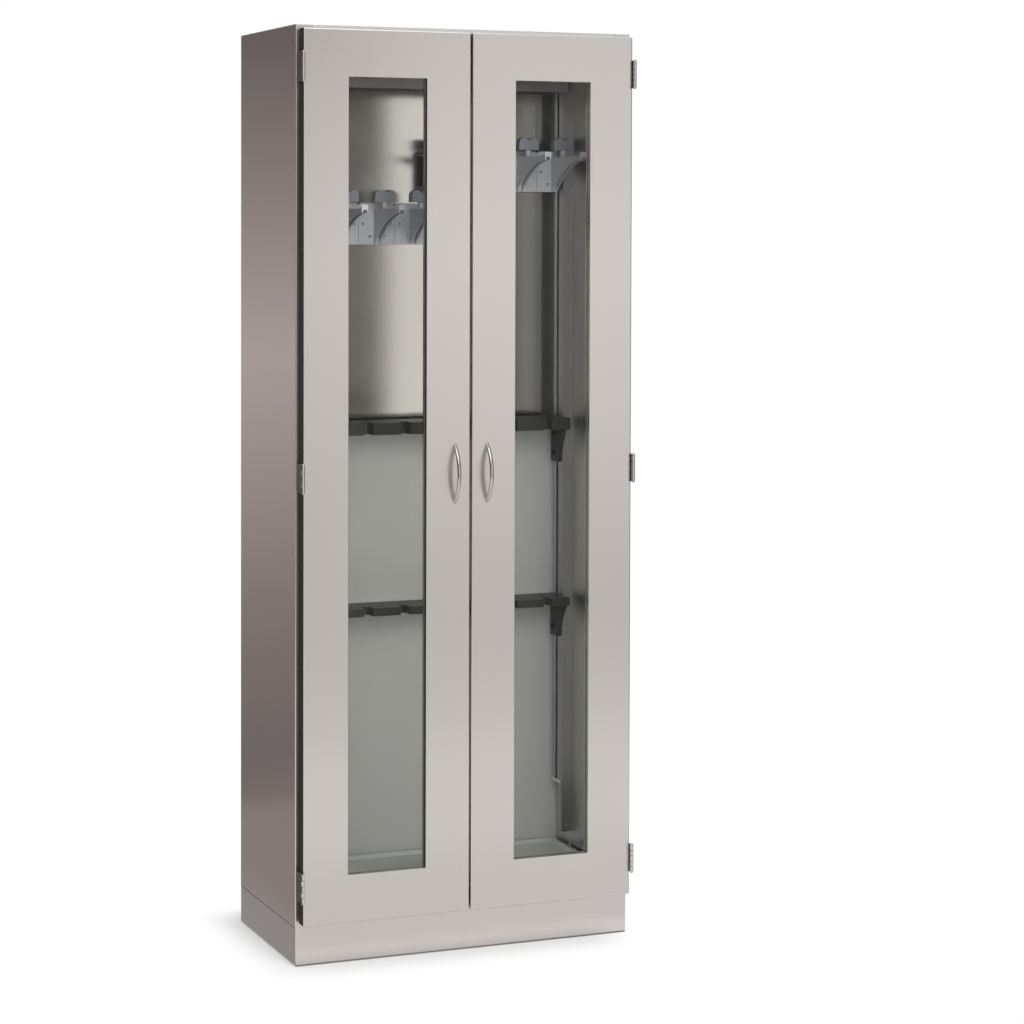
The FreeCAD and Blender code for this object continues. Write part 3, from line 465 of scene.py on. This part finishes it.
class CABINET_OT_guides(bpy.types.Operator):
    """Finishes the tube guides, their tracks and clamps."""
    bl_idname = "cabinet.guides"
    bl_label = "Tube guides"

    def execute(self, context):
        look = context.scene.cabinet_finishes
        grain = {"grit": 0.001, "depth": 0.0001}
        dress(named("tube_guide"), moulded("Acetal, moulded black", look.guide, rough=0.42, **grain))
        dress(named("guide_brackets"), moulded("Polyamide, moulded brackets", look.bracket, rough=0.55, **grain))
        dress(named("clamp_screws"), moulded("Polyamide, moulded clamp heads", look.clamp, rough=0.5, sheen=0.1,
                                             **grain))
        dress(named("corner_track"), brushed("Aluminium, drawn and anodised", look, look.track, rough=0.33))
        dress(["corner_uprights"], brushed("Steel, rolled and galvanised", look, look.upright, rough=0.38))
        dress(["track_end_clips"], moulded("ABS, moulded light grey", look.clip, rough=0.5, **grain))
        return {"FINISHED"}


def round_rectangle(low, high, inset, radius):
    """Points of a rectangle with round corners, moved inwards."""
    points = []
    for corner, (sx, sy) in enumerate(((1, 1), (-1, 1), (-1, -1), (1, -1))):
        centre_x = (high[0] if sx > 0 else low[0]) - sx * (inset + radius)
        centre_y = (high[1] if sy > 0 else low[1]) - sy * (inset + radius)
        for step in range(CORNER_STEPS + 1):
            angle = math.radians(90 * (corner + step / CORNER_STEPS))
            points.append((centre_x + radius * math.cos(angle), centre_y + radius * math.sin(angle)))
    return points


def shallow_tray(name, low, high, size, material):
    """Tray on a tall skirt: a flat rim, a short drafted wall and a floor that falls to the middle."""
    top, foot = high[2], low[2]
    floor = top - size.tray_depth
    wall, sheet = size.tray_rim, size.tray_sheet
    # Inset and height of each ring, from below the floor down the skirt, up over the rim and down to the floor.
    # Bends and drafts are counted in thicknesses of the sheet
    rings = [(wall + 4 * sheet, floor - 2 * sheet), (wall + sheet, floor - 2 * sheet), (wall + sheet, foot),
             (wall, foot), (wall, top - sheet), (0, top - sheet), (0, top - sheet / 3), (sheet / 3, top),
             (wall + sheet, top), (wall + 1.5 * sheet, top - sheet / 2), (wall + 3 * sheet, floor + sheet),
             (wall + 5 * sheet, floor)]
    mesh = bmesh.new()
    loops = []
    for inset, level in rings:
        radius = max(size.tray_corner - 2 * inset, sheet)
        outline = round_rectangle(low, high, inset, radius)
        loops.append([mesh.verts.new((x, y, level)) for x, y in outline])
    for first, second in zip(loops, loops[1:]):
        for i in range(len(first)):
            j = (i + 1) % len(first)
            mesh.faces.new((first[i], first[j], second[j], second[i]))
    centre = ((low[0] + high[0]) / 2, (low[1] + high[1]) / 2)
    drain = mesh.verts.new((*centre, floor - sheet))
    below = mesh.verts.new((*centre, floor - 3 * sheet))
    for loop, tip in ((loops[-1], drain), (loops[0], below)):
        for i in range(len(loop)):
            mesh.faces.new((loop[i], loop[(i + 1) % len(loop)], tip))
    bmesh.ops.recalc_face_normals(mesh, faces=mesh.faces)
    data = bpy.data.meshes.new(name)
    mesh.to_mesh(data)
    mesh.free()
    data.materials.append(material)
    data.shade_smooth()
    data.set_sharp_from_angle(angle=math.radians(SHARP_ANGLE))
    tray = bpy.data.objects.new(name, data)
    bpy.context.scene.collection.objects.link(tray)
    return tray


class CABINET_OT_tray(bpy.types.Operator):
    """Makes the drip tray with its shallow floor, and finishes its handles."""
    bl_idname = "cabinet.tray"
    bl_label = "Drip tray"

    def execute(self, context):
        look = context.scene.cabinet_finishes
        pale = moulded("Polypropylene, moulded pale grey", look.tray, rough=0.42, grit=0.0015, depth=0.0001)
        low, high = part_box("drip_tray")
        tray = shallow_tray("shallow_drip_tray", low, high, context.scene.cabinet_tray, pale)
        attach(tray, "tray")
        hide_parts("drip_tray")
        dress(["tray_handles"], moulded("Polyamide coating on rod, grey", look.tray_rod, rough=0.45, grit=0.0008,
                                        depth=0.00005))
        return {"FINISHED"}


def soft_lamp(name, place, aim, size, watts):
    """A large soft lamp that points at a spot. Shiny surfaces show the cards instead of it."""
    data = bpy.data.lights.new(name, "AREA")
    data.shape = "RECTANGLE"
    data.size, data.size_y = size
    data.energy = watts
    lamp = bpy.data.objects.new(name, data)
    lamp.location = place
    lamp.rotation_euler = (Vector(aim) - Vector(place)).to_track_quat("-Z", "Y").to_euler()
    lamp.visible_glossy = False
    lamp.visible_transmission = False
    bpy.context.scene.collection.objects.link(lamp)


def seen_ray(tree):
    """1 for rays that show the studio: from the camera, from gloss or through glass."""
    path = add(tree, "LightPath")
    first = add(tree, "Math", {"operation": "MAXIMUM"}, i0=path.outputs["Is Camera Ray"],
                i1=path.outputs["Is Glossy Ray"])
    return add(tree, "Math", {"operation": "MAXIMUM"}, i0=first.outputs[0], i1=path.outputs["Is Transmission Ray"])


def rectangle(x0, y0, x1, y1):
    """Corners of a level rectangle."""
    return [(x0, y0), (x1, y0), (x1, y1), (x0, y1)]


def flat_piece(name, corners, material):
    """A flat stage piece through four corners."""
    mesh = bpy.data.meshes.new(name)
    mesh.from_pydata(corners, [], [(0, 1, 2, 3)])
    mesh.materials.append(material)
    piece = bpy.data.objects.new(name, mesh)
    bpy.context.scene.collection.objects.link(piece)
    return piece


def floor_material(paint_tint, reach, middle, half):
    """Pale floor that keeps the shadow near the cabinet's foot and turns plain white further out.

    middle and half are the centre and half the sides of the rectangle from which the distance counts.
    """
    material, tree = new_material("Studio floor, painted white")
    place = add(tree, "TexCoord")
    aside = add(tree, "VectorMath", {"operation": "SUBTRACT", 1: middle}, i0=place.outputs["Object"])
    folded = add(tree, "VectorMath", {"operation": "ABSOLUTE"}, i0=aside.outputs[0])
    past = add(tree, "VectorMath", {"operation": "SUBTRACT", 1: half}, i0=folded.outputs[0])
    outside = add(tree, "VectorMath", {"operation": "MAXIMUM", 1: (0, 0, 0)}, i0=past.outputs[0])
    far = add(tree, "VectorMath", {"operation": "LENGTH"}, i0=outside.outputs[0])
    blend = add(tree, "MapRange", {"From Max": reach, "interpolation_type": "SMOOTHSTEP"}, Value=far.outputs["Value"])
    chosen = add(tree, "Math", {"operation": "MULTIPLY"}, i0=blend.outputs[0], i1=seen_ray(tree).outputs[0])
    paint = add(tree, "BsdfDiffuse", {"Color": rgba(paint_tint)})
    white = add(tree, "Emission", {"Strength": WHITE})
    both = add(tree, "MixShader", Fac=chosen.outputs[0], i1=paint.outputs[0], i2=white.outputs[0])
    finish(tree, both)
    return material


def card_material(name, tint, levels):
    """Glowing card whose brightness changes with height; levels are (height in metres, brightness)."""
    material, tree = new_material("Studio card, " + name)
    place = add(tree, "TexCoord")
    parts = add(tree, "SeparateXYZ", Vector=place.outputs["Object"])
    top = levels[-1][0]
    share = add(tree, "MapRange", {"From Max": top}, Value=parts.outputs["Z"])
    ramp = add(tree, "ValToRGB", Fac=share.outputs[0])
    stops = ramp.color_ramp.elements
    for index, (height, grey) in enumerate(levels):
        stop = stops[0] if index == 0 else stops.new(height / top) if height < top else stops[-1]
        stop.color = rgba([grey * c for c in tint])
    card = add(tree, "Emission", {"Strength": 1.0}, Color=ramp.outputs[0])
    finish(tree, card)
    return material


def even_card(name, tint, level):
    """Glowing card that is equally bright all over."""
    return card_material(name, tint, [(0.0, level), (1.0, level)])


def reflected(piece):
    """Keeps a card out of the picture, so that only shiny surfaces show it."""
    piece.visible_camera = False
    piece.visible_diffuse = False
    piece.visible_transmission = False
    piece.visible_shadow = False


def standing_card(name, start, end, material):
    """A card that stands on the floor from one point to another."""
    foot = [(*start, 0), (*end, 0)]
    head = [(*end, CARD_HEIGHT), (*start, CARD_HEIGHT)]
    reflected(flat_piece(name, foot + head, material))


def lying_card(name, outline, layer, material):
    """A card that lies on the floor, on one of a few layers."""
    reflected(flat_piece(name, [(x, y, layer * CARD_LIFT) for x, y in outline], material))


def stage_floor(studio, foot_low, foot_high):
    """Lays the floor, with the shadow round the foot of the cabinet."""
    half = studio.floor_size / 2
    left, right = foot_low[0] + studio.shadow_left, foot_high[0] - studio.shadow_right
    middle = ((left + right) / 2, (foot_low[1] + foot_high[1]) / 2, 0)
    half_sides = (right - middle[0], foot_high[1] - middle[1], 0)
    flat_piece("studio_floor", [(x, y, 0) for x, y in rectangle(-half, -half, half, half)],
               floor_material(studio.floor_paint, studio.shadow_reach, middle, half_sides))


def stage_cards(studio, foot_low, foot_high):
    """Sets up the cards that the steel mirrors, placed by the reflections in the photo."""
    side = card_material("side", WARM, SIDE_LEVELS)
    dark = even_card("dark", WARM, 0.12)
    standing_card("side_card", (-0.45, 1.5), (-6, 1.5), side)
    standing_card("left_card", (-6, 1.5), (-6, -2), side)
    standing_card("flank_card", (2.29, -0.35), (2.6, 1.5), side)
    standing_card("camera_card", (-5, -1.2), (-3.4, -4.2), dark)
    standing_card("right_card", (2.2, -0.9), (2.29, -0.35), dark)
    standing_card("corner_card", (2.6, -2.6), (2.2, -0.9), dark)
    standing_card("front_card", (0.58, -2.6), (2.6, -2.6), card_material("front", NEUTRAL, FRONT_LEVELS))
    standing_card("near_card", (-0.3, -2.6), (0.58, -2.6), card_material("near", NEUTRAL, NEAR_LEVELS))
    lying_card("low_card", [(-6, -0.6), (-0.43, -0.2), (-0.43, 1.5), (-6, 1.5)], 2, even_card("low", WARM, 0.34))
    lying_card("base_card", rectangle(-0.545, -0.2, -0.4125, 1.5), 3, even_card("base", FAINTLY_WARM, 0.38))
    lying_card("foot_card", rectangle(-0.4, -0.3, 2.2, -1.2), 2, even_card("pale", NEUTRAL, 0.86))
    lying_card("floor_card", rectangle(-0.4, -1.2, 2.0, -2.6), 2, even_card("bright", NEUTRAL, 0.96))
    # The dim strip stands in for the floor's shadow at the foot: the plinth shows it as a painted dark reflection, a
    # thin line along its foot
    strip = rectangle(foot_low[0], foot_low[1], foot_high[0], foot_low[1] - studio.edge_width)
    lying_card("foot_shadow_card", strip, 1, even_card("edge", WARM, 0.24))
    slope = [(-2.0, -2.9, 2.5), (0.9, -2.9, 2.5), (0.9, -1.2, 4.4), (-2.0, -1.2, 4.4)]
    reflected(flat_piece("high_card", slope, even_card("glowing", NEUTRAL, 2.2)))


def stage_world(scene, studio):
    """White surroundings that light the cabinet less than they show."""
    world = bpy.data.worlds.new("Studio")
    scene.world = world
    world.use_nodes = True
    tree = world.node_tree
    tree.nodes.clear()
    strength = add(tree, "MapRange", {"To Min": studio.world_light, "To Max": WHITE},
                   Value=seen_ray(tree).outputs[0])
    sky = add(tree, "Background", {"Color": rgba(NEUTRAL)}, Strength=strength.outputs[0])
    add(tree, "OutputWorld", Surface=sky.outputs[0])


def stage_camera(scene, studio):
    """Camera where the photo was taken, with the vertical shift that keeps its verticals parallel."""
    data = bpy.data.cameras.new("photo_camera")
    data.lens = studio.lens
    data.sensor_width = SENSOR_WIDTH
    data.shift_y = CAMERA_SHIFT
    camera = bpy.data.objects.new("photo_camera", data)
    turn = Matrix.Rotation(math.radians(CAMERA_TURN), 4, "Z")
    tilt = Matrix.Rotation(math.radians(90 + CAMERA_TILT), 4, "X")
    roll = Matrix.Rotation(math.radians(CAMERA_ROLL), 4, "Z")
    camera.rotation_euler = (turn @ tilt @ roll).to_euler()
    camera.location = CAMERA_PLACE
    scene.collection.objects.link(camera)
    scene.camera = camera


class CABINET_OT_studio(bpy.types.Operator):
    """Sets up the floor, cards, lamps, world and camera."""
    bl_idname = "cabinet.studio"
    bl_label = "Studio"

    def execute(self, context):
        scene = context.scene
        studio = scene.cabinet_studio
        foot_low, foot_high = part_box("plinth_skirt")
        stage_floor(studio, foot_low, foot_high)
        stage_cards(studio, foot_low, foot_high)
        soft_lamp("front_softbox", place=(0.1, -4.4, 2.7), aim=(0, 0, 1.2), size=(5.0, 1.8), watts=180)
        soft_lamp("low_softbox", place=(0.1, -4.4, 1.1), aim=(0, 0, 1.1), size=(5.0, 1.4), watts=80)
        soft_lamp("left_softbox", place=(-3.6, -2.4, 3.0), aim=(0, 0, 0.6), size=(2.0, 2.0), watts=45)
        stage_world(scene, studio)
        stage_camera(scene, studio)
        scene.view_settings.view_transform = "Standard"
        return {"FINISHED"}


class CABINET_PT_panel(bpy.types.Panel):
    """Lists the cabinet's steps."""
    bl_idname = "CABINET_PT_panel"
    bl_label = "Scope cabinet"
    bl_space_type = "VIEW_3D"
    bl_region_type = "UI"
    bl_category = "Cabinet"

    def draw(self, context):
        for step in STEPS:
            self.layout.operator(step.bl_idname)


STEPS = (CABINET_OT_case, CABINET_OT_doors, CABINET_OT_hardware, CABINET_OT_hangers, CABINET_OT_guides,
         CABINET_OT_tray, CABINET_OT_studio)
CLASSES = (CabinetFinishes, CabinetTray, CabinetStudio, *STEPS, CABINET_PT_panel)


def register():
    for item in CLASSES:
        bpy.utils.register_class(item)
    bpy.types.Scene.cabinet_finishes = PointerProperty(type=CabinetFinishes)
    bpy.types.Scene.cabinet_tray = PointerProperty(type=CabinetTray)
    bpy.types.Scene.cabinet_studio = PointerProperty(type=CabinetStudio)


def unregister():
    del bpy.types.Scene.cabinet_studio
    del bpy.types.Scene.cabinet_tray
    del bpy.types.Scene.cabinet_finishes
    for item in reversed(CLASSES):
        bpy.utils.unregister_class(item)


def main():
    register()
    bpy.ops.cabinet.case()
    bpy.ops.cabinet.doors()
    bpy.ops.cabinet.hardware()
    bpy.ops.cabinet.hangers()
    bpy.ops.cabinet.guides()
    bpy.ops.cabinet.tray()
    bpy.ops.cabinet.studio()


if __name__ == "__main__":
    main()
